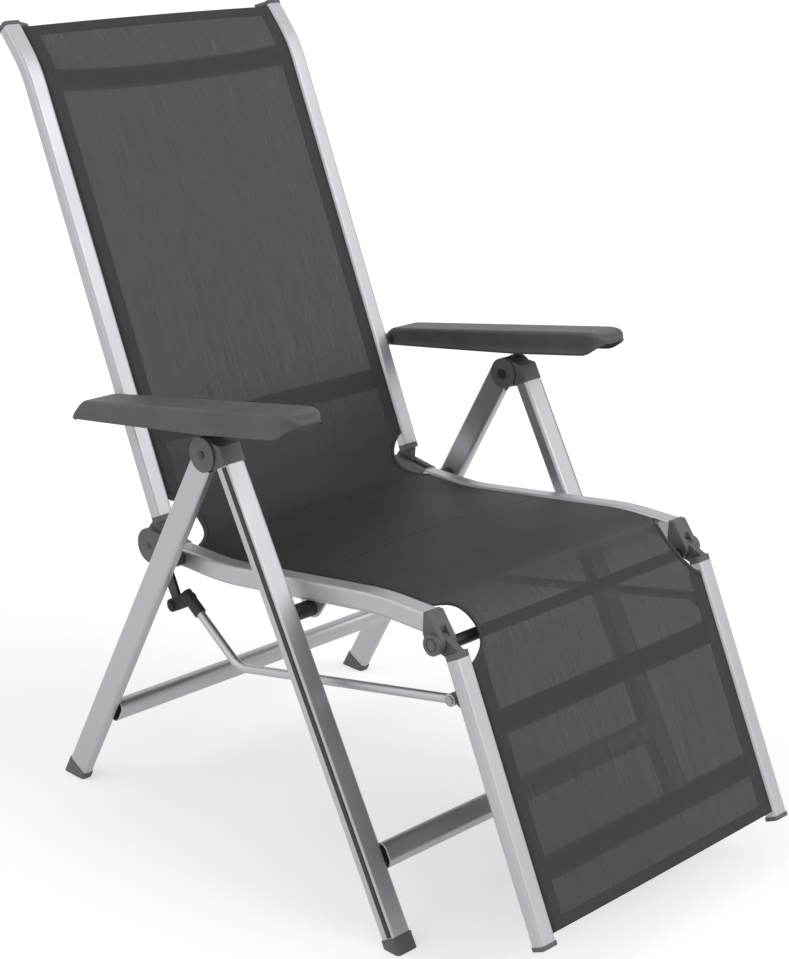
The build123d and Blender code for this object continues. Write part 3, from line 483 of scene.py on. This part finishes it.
FINISHES = {
    "silver_aluminium": coated_metal("silver_coat", tone(182, 183, 187), metallic=0.75),
    "dark_steel": coated_metal(
        "dark_coat", tone(58, 59, 61), metallic=0.3, radius=0.0008, edge_highlight=0.05
    ),
    "grey_plastic": moulded("grey_moulding", tone(96, 98, 101), tone(150, 152, 155)),
    "black_plastic": moulded("black_moulding", tone(50, 51, 53), tone(92, 93, 95)),
    "arm_plastic": moulded(
        "armrest_moulding", tone(84, 86, 89), tone(140, 142, 145), highlight_share=0.2, grain=900.0
    ),
    "steel": bright_steel("zinc_steel"),
    "binding": moulded("edge_binding", tone(50, 51, 53), tone(70, 71, 73), highlight_share=0.1, bump=0.3),
}

slot_of = {row["node"]: row["material_slot"] for row in frame["record"]["subparts"]}
for node_name, node in frame["nodes"].items():
    finish = FINISHES.get(slot_of[node_name])
    if finish is None:
        continue
    for material_slot in node.material_slots:
        material_slot.link = "OBJECT"
        material_slot.material = finish


def line_normals(line):
    """Direction square to a line of the side view at each point, away from the sitter."""
    slope = np.gradient(line, axis=0)
    slope /= np.linalg.norm(slope, axis=1)[:, None]
    return np.stack([slope[:, 1], -slope[:, 0]], 1)


def cloth_piece(name, line, distance, first, last, material):
    """Sheet between the rails: across from -half to +half, along the line from one
    distance to another, lying under the line by cloth_dip."""
    keep = (distance >= first - 1e-9) & (distance <= last + 1e-9)
    places, runs = line[keep], distance[keep]
    normal = line_normals(line)[keep]
    share = np.linspace(-1, 1, 49)
    across = share[None, :] * half_width(runs)[:, None]
    dip = cloth_dip(runs[:, None], across)
    rows, columns = across.shape
    grid = np.zeros((rows, columns, 3))
    grid[..., 0] = across
    grid[..., 1] = places[:, 0][:, None] + normal[:, 0][:, None] * dip
    grid[..., 2] = places[:, 1][:, None] + normal[:, 1][:, None] * dip
    uv = np.zeros((rows, columns, 2))
    uv[..., 0] = across
    uv[..., 1] = runs[:, None]
    piece = mesh_from_grid(name, grid, uv)
    wall = piece.modifiers.new("wall", "SOLIDIFY")
    wall.thickness = CLOTH_THICK
    wall.offset = 0.0
    piece.data.materials.append(material)
    return piece


cloth_line = rounded_line(CLOTH_LINE, CLOTH_RADII, CLOTH_PITCH)
cloth_runs = run_lengths(cloth_line)
cloth_length = float(cloth_runs[-1])


def nearest_run(y, z):
    """Distance along the cloth of its point nearest to a place of the side view."""
    return float(cloth_runs[np.argmin(np.hypot(cloth_line[:, 0] - y, cloth_line[:, 1] - z))])


scallop_runs = {hinge: nearest_run(*place) for hinge, place in SCALLOP_PLACE.items()}


def corner_dip(runs):
    """How far the free edges let the cloth sink at a hinge: deep * (1 - t^2)^2 with t
    from -1 to 1 over a short run."""
    dip = np.zeros(runs.shape)
    for hinge, (deep, half) in CORNER_DIP.items():
        t = np.clip((runs - scallop_runs[hinge]) / half, -1, 1)
        dip += deep * (1 - t**2) ** 2
    return dip


def half_width(runs):
    """Half the cloth's width along it: the rails' distance less two scallops, each
    deep * (1 - |t|^2.4)^0.8 with t from -1 to 1 over its length."""
    half = np.full(len(runs), CLOTH_HALF)
    for hinge, middle in scallop_runs.items():
        t = np.clip((runs - middle) / SCALLOP_HALF[hinge], -1, 1)
        half -= SCALLOP_DEEP[hinge] * (1 - np.abs(t) ** 2.4) ** 0.8
    return half


def cloth_sag(runs):
    """Sag away from the sitter, in metres: more at mid-back and mid-seat, little at the
    hems, as smooth bumps along the cloth."""
    sag = np.full(runs.shape, SAG_ALL)
    for deep, middle, spread in (SAG_BACK, SAG_SEAT):
        sag += deep * np.exp(-(((runs / cloth_length - middle) / spread) ** 2))
    return sag


def cloth_dip(runs, across):
    """How far the cloth lies under its line: sag * (1 - s^2) + corner dip * (1 - s^8),
    with s the place across it as a share of the half width."""
    share = across / CLOTH_HALF
    return cloth_sag(runs) * (1 - share**2) + corner_dip(runs) * (1 - share**8)


seat_run = (scallop_runs["back"], scallop_runs["footrest"])
mesh_finish = mesh_cloth("anthracite_mesh", cloth_length, seat_run)
seat_middle = nearest_run(*SEAT_MIDDLE)
upper_cloth = cloth_piece("cloth_upper", cloth_line, cloth_runs, 0.0, seat_middle, mesh_finish)
lower_cloth = cloth_piece(
    "cloth_lower", cloth_line, cloth_runs, seat_middle, cloth_length, mesh_finish
)
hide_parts("back_fabric", "seat_fabric")
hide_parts("footrest_fabric")
BACK_TURN = dict(start=(0, 0.120, 0.400), end=(0, 0.235, 0.470))
FOOTREST_TURN = dict(start=(0, -0.290, 0.444), end=(0, -0.350, 0.390))
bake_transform(upper_cloth)
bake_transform(lower_cloth)


def tube_along(name, path, radius, material, sides=12):
    """Tube around a path: at each point a circle in the plane across the path, its
    radius falling to nothing at both ends as a quarter circle."""
    slope = np.gradient(path, axis=0)
    slope /= np.linalg.norm(slope, axis=1)[:, None]
    first = np.cross(slope, np.array([1.0, 0.3, 0.2]))
    first /= np.linalg.norm(first, axis=1)[:, None]
    second = np.cross(slope, first)
    runs = run_lengths(path)
    near_end = np.minimum(runs, runs[-1] - runs) / radius
    size = radius * np.sqrt(np.clip(1 - (1 - np.clip(near_end, 0, 1)) ** 2, 0, 1))
    angle = np.linspace(0, 2 * math.pi, sides, endpoint=False)
    ring = (
        np.cos(angle)[None, :, None] * first[:, None, :]
        + np.sin(angle)[None, :, None] * second[:, None, :]
    )
    piece = mesh_from_grid(name, path[:, None, :] + ring * size[:, None, None], closed=True)
    join_doubles(piece)
    piece.data.materials.append(material)
    return piece


def edge_binding(hinge, side, word):
    """Bound edge of a scallop: a tube on the cloth's edge from just before it to just
    after it, held inside the rails."""
    runs = scallop_runs[hinge] + np.linspace(-1.12, 1.12, 90) * SCALLOP_HALF[hinge]
    path = np.zeros((len(runs), 3))
    path[:, 0] = side * np.minimum(half_width(runs), CLOTH_HALF - BINDING_INSET)
    normals = line_normals(cloth_line)
    sink = cloth_dip(runs, path[:, 0])
    for axis in (0, 1):
        on_line = np.interp(runs, cloth_runs, cloth_line[:, axis])
        path[:, axis + 1] = on_line + np.interp(runs, cloth_runs, normals[:, axis]) * sink
    name = f"edge_binding_{hinge}_{word}"
    piece = tube_along(name, path, BINDING_RADIUS, FINISHES["binding"])
    return piece


bindings = {"back": [], "footrest": []}
for hinge, turn in (("back", BACK_TURN), ("footrest", FOOTREST_TURN)):
    for side, word in ((1, "left"), (-1, "right")):
        binding = edge_binding(hinge, side, word)
        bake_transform(binding)
        bindings[hinge].append(binding)

# Armrest: plan outline with its corner radii, wall, top edge's radius, and the heights
# (y, z) of its top and its skirt in the side view
ARM_INNER, ARM_OUTER = 0.2675, 0.3290
ARM_FRONT_CORNER, ARM_REAR_CORNER = 0.022, 0.008
ARM_WALL = 0.0028
ARM_EDGE = 0.0055
ARM_FRONT, ARM_REAR = -0.1510, 0.2920
ARM_TOP = [
    (-0.1510, 0.6620),
    (-0.1470, 0.6680),
    (-0.1380, 0.6700),
    (-0.1220, 0.6705),
    (0.2680, 0.6006),
    (0.2920, 0.5740),
]
ARM_SKIRT = [
    (-0.1510, 0.6605),
    (-0.1430, 0.6530),
    (-0.1190, 0.6360),
    (0.0120, 0.6120),
    (0.1660, 0.5890),
    (0.2620, 0.5750),
    (0.2900, 0.5715),
    (0.2920, 0.5720),
]


def rounded_plan(steps):
    """Plan outline of the armrest: a rectangle with quarter circles at its corners,
    gone round once in even steps. Returns the points and their outward normals."""
    middle = (ARM_INNER + ARM_OUTER) / 2
    half = (ARM_OUTER - ARM_INNER) / 2
    rear_x, rear_y = half - ARM_REAR_CORNER, ARM_REAR - ARM_REAR_CORNER
    front_x, front_y = half - ARM_FRONT_CORNER, ARM_FRONT + ARM_FRONT_CORNER
    corners = [
        (rear_x, rear_y, ARM_REAR_CORNER),
        (-rear_x, rear_y, ARM_REAR_CORNER),
        (-front_x, front_y, ARM_FRONT_CORNER),
        (front_x, front_y, ARM_FRONT_CORNER),
    ]
    points, normals = [], []
    for turn, (x, y, radius) in enumerate(corners):
        angle = np.linspace(turn, turn + 1, 24) * math.pi / 2
        normal = np.stack([np.cos(angle), np.sin(angle)], 1)
        points.append(np.array([x, y]) + normal * radius)
        normals.append(normal)
    points = np.concatenate(points)
    normals = np.concatenate(normals)
    points = np.concatenate([points, points[:1]])
    normals = np.concatenate([normals, normals[:1]])
    length = run_lengths(points)
    place = np.linspace(0, length[-1], steps, endpoint=False)
    outline = np.stack([np.interp(place, length, points[:, axis]) for axis in (0, 1)], 1)
    normal = np.stack([np.interp(place, length, normals[:, axis]) for axis in (0, 1)], 1)
    normal /= np.linalg.norm(normal, axis=1)[:, None]
    return outline + np.array([middle, 0]), normal


def smooth_height(table, y, width=0.006):
    """Height at y on a polyline of (y, height), averaged over a short width so that its
    corners turn smoothly."""
    ys, zs = np.array(table).T
    shifts = np.linspace(-width, width, 9)
    return np.mean([np.interp(y + shift, ys, zs) for shift in shifts], axis=0)


def armrest_piece(name, side):
    """Open-bottomed shell: rings of the plan outline go up the skirt, over a quarter
    circle at the top edge, and in to the middle line, where the last ring closes on
    itself. side is 1 for the left and -1 for the right."""
    steps = 240
    outline, normal = rounded_plan(steps)
    top = smooth_height(ARM_TOP, outline[:, 1])
    skirt = np.minimum(smooth_height(ARM_SKIRT, outline[:, 1]), top - 0.004)
    rings = []

    def ring(inset, height):
        """One ring, moved inwards by an inset and lifted to a height."""
        flat = outline - normal * inset
        rings.append(np.stack([flat[:, 0], flat[:, 1], height], 1))

    shoulder = top - ARM_EDGE
    base = np.minimum(skirt, shoulder - 0.001)
    groove = 0.0011
    ring(0.0000, base)
    ring(0.0000, base + np.minimum(0.0034, (shoulder - base) * 0.3))
    ring(groove, base + np.minimum(0.0042, (shoulder - base) * 0.4))
    for share in np.linspace(0.45, 1.0, 9):
        ring(groove, base + (shoulder - base) * share)
    for turn in np.linspace(0, math.pi / 2, 7)[1:]:
        ring(groove + ARM_EDGE * (1 - math.cos(turn)), shoulder + ARM_EDGE * math.sin(turn))
    rim = rings[-1]
    spine_y = np.clip(outline[:, 1], ARM_FRONT + 0.030, ARM_REAR - 0.030)
    spine_x = np.full(steps, (ARM_INNER + ARM_OUTER) / 2)
    spine_top = smooth_height(ARM_TOP, spine_y) + 0.0005
    for share in np.linspace(0, 1, 12)[1:]:
        x = rim[:, 0] + (spine_x - rim[:, 0]) * share
        y = rim[:, 1] + (spine_y - rim[:, 1]) * share
        flat_top = smooth_height(ARM_TOP, y)
        z = np.minimum(flat_top, spine_top + 0.01)
        rings.append(np.stack([x, y, z], 1))
    places = np.stack(rings)
    places[..., 0] *= side
    if side < 0:
        places = places[:, ::-1]
    piece = mesh_from_grid(name, places, closed=True)
    join_doubles(piece)
    wall = piece.modifiers.new("wall", "SOLIDIFY")
    wall.thickness = ARM_WALL
    wall.offset = -1.0
    piece.data.materials.append(FINISHES["arm_plastic"])
    return piece


for side, word in ((1, "left"), (-1, "right")):
    armrest = armrest_piece(f"armrest_shell_{word}", side)
    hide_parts(f"armrest_{word}")
    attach(armrest, f"arm_{word}")


# Strength of the floor's own glow, and of the world's light and its look to the camera
FLOOR_GLOW = 0.46
WORLD_LIGHT = 0.52
WORLD_SHOWN = 1.0

# Camera of the photograph: turn, downward pitch and roll in degrees, place in metres,
# focal length and picture width in pixels
CAMERA_ANGLES = (-46.054, 18.673, 1.342)
CAMERA_PLACE = (-2.003, -1.939, 1.424)
FOCAL_PIXELS = 2113.98
PICTURE_WIDTH = 789
SENSOR_WIDTH = 36.0


def floor_piece():
    """Pale floor at height 0: where the camera sees it, it also shines a little, so that
    it stays pale around the shadow."""
    half = 30.0
    share = np.linspace(-half, half, 13)
    grid = np.zeros((13, 13, 3))
    grid[..., 0] = share[None, :]
    grid[..., 1] = share[:, None]
    piece = mesh_from_grid("studio_floor", grid)
    material, net, shader = new_material("pale_floor")
    speck = net.add(
        "ShaderNodeTexNoise",
        {"Vector": net.add("ShaderNodeTexCoord").outputs["Object"], "Scale": 3.0},
    )
    colour = net.blend(speck.outputs["Fac"], tone(226, 226, 226), tone(230, 230, 230))
    net.tree.links.new(colour, shader.inputs["Base Color"])
    shader.inputs["Roughness"].default_value = 0.9
    shader.inputs["Specular IOR Level"].default_value = 0.0
    shader.inputs["Emission Color"].default_value = (1, 1, 1, 1)
    path = net.add("ShaderNodeLightPath")
    seen = net.math("MAXIMUM", path.outputs["Is Camera Ray"], path.outputs["Is Glossy Ray"])
    seen = net.math("MAXIMUM", seen, path.outputs["Is Transmission Ray"])
    net.tree.links.new(net.math("MULTIPLY", seen, FLOOR_GLOW), shader.inputs["Emission Strength"])
    piece.data.materials.append(material)
    return piece


floor_piece()


def soft_sun(name, place, strength, spread):
    """Lamp with parallel light from a place towards the origin, its disc as wide as a
    spread in degrees, so that shadows are soft and the light is even over the floor."""
    lamp = bpy.data.lights.new(name, "SUN")
    lamp.energy = strength
    lamp.angle = math.radians(spread)
    piece = bpy.data.objects.new(name, lamp)
    bpy.context.scene.collection.objects.link(piece)
    piece.location = place
    piece.rotation_euler = (-Vector(place)).to_track_quat("-Z", "Y").to_euler()


soft_sun("key_lamp", (1.6, -3.4, 2.8), 0.85, 40)
soft_sun("side_lamp", (-3.8, 0.4, 1.4), 0.36, 60)
soft_sun("back_lamp", (-2.6, 2.6, 3.2), 0.40, 60)

world = bpy.data.worlds.new("studio")
world.use_nodes = True
bpy.context.scene.world = world
sky = Net(world.node_tree)
ground = world.node_tree.nodes["Background"]
ray = sky.add("ShaderNodeLightPath")
shown = sky.math("MAXIMUM", ray.outputs["Is Camera Ray"], ray.outputs["Is Glossy Ray"])
shown = sky.math("MAXIMUM", shown, ray.outputs["Is Transmission Ray"])
ground.inputs["Color"].default_value = (1, 1, 1, 1)
strength = sky.spread(shown, 0, 1, WORLD_LIGHT, WORLD_SHOWN, smooth=False)
world.node_tree.links.new(strength, ground.inputs["Strength"])


def place_camera():
    """Camera of the photograph: turned about the vertical, pitched down, rolled a
    little, its lens from the focal length in pixels over the picture's width."""
    turn, pitch, roll = (math.radians(angle) for angle in CAMERA_ANGLES)
    level = Vector((-math.sin(turn), math.cos(turn), 0))
    forward = level * math.cos(pitch) + Vector((0, 0, -math.sin(pitch)))
    right = forward.cross(Vector((0, 0, 1))).normalized()
    up = right.cross(forward)
    across = right * math.cos(roll) + up * math.sin(roll)
    upright = -right * math.sin(roll) + up * math.cos(roll)
    lens = bpy.data.cameras.new("photo_camera")
    lens.sensor_fit = "HORIZONTAL"
    lens.sensor_width = SENSOR_WIDTH
    lens.lens = SENSOR_WIDTH * FOCAL_PIXELS / PICTURE_WIDTH
    piece = bpy.data.objects.new("photo_camera", lens)
    bpy.context.scene.collection.objects.link(piece)
    turned = Matrix((across, upright, -forward)).transposed().to_4x4()
    turned.translation = Vector(CAMERA_PLACE)
    piece.matrix_world = turned
    bpy.context.scene.camera = piece


place_camera()
bpy.context.scene.view_settings.view_transform = "Standard"
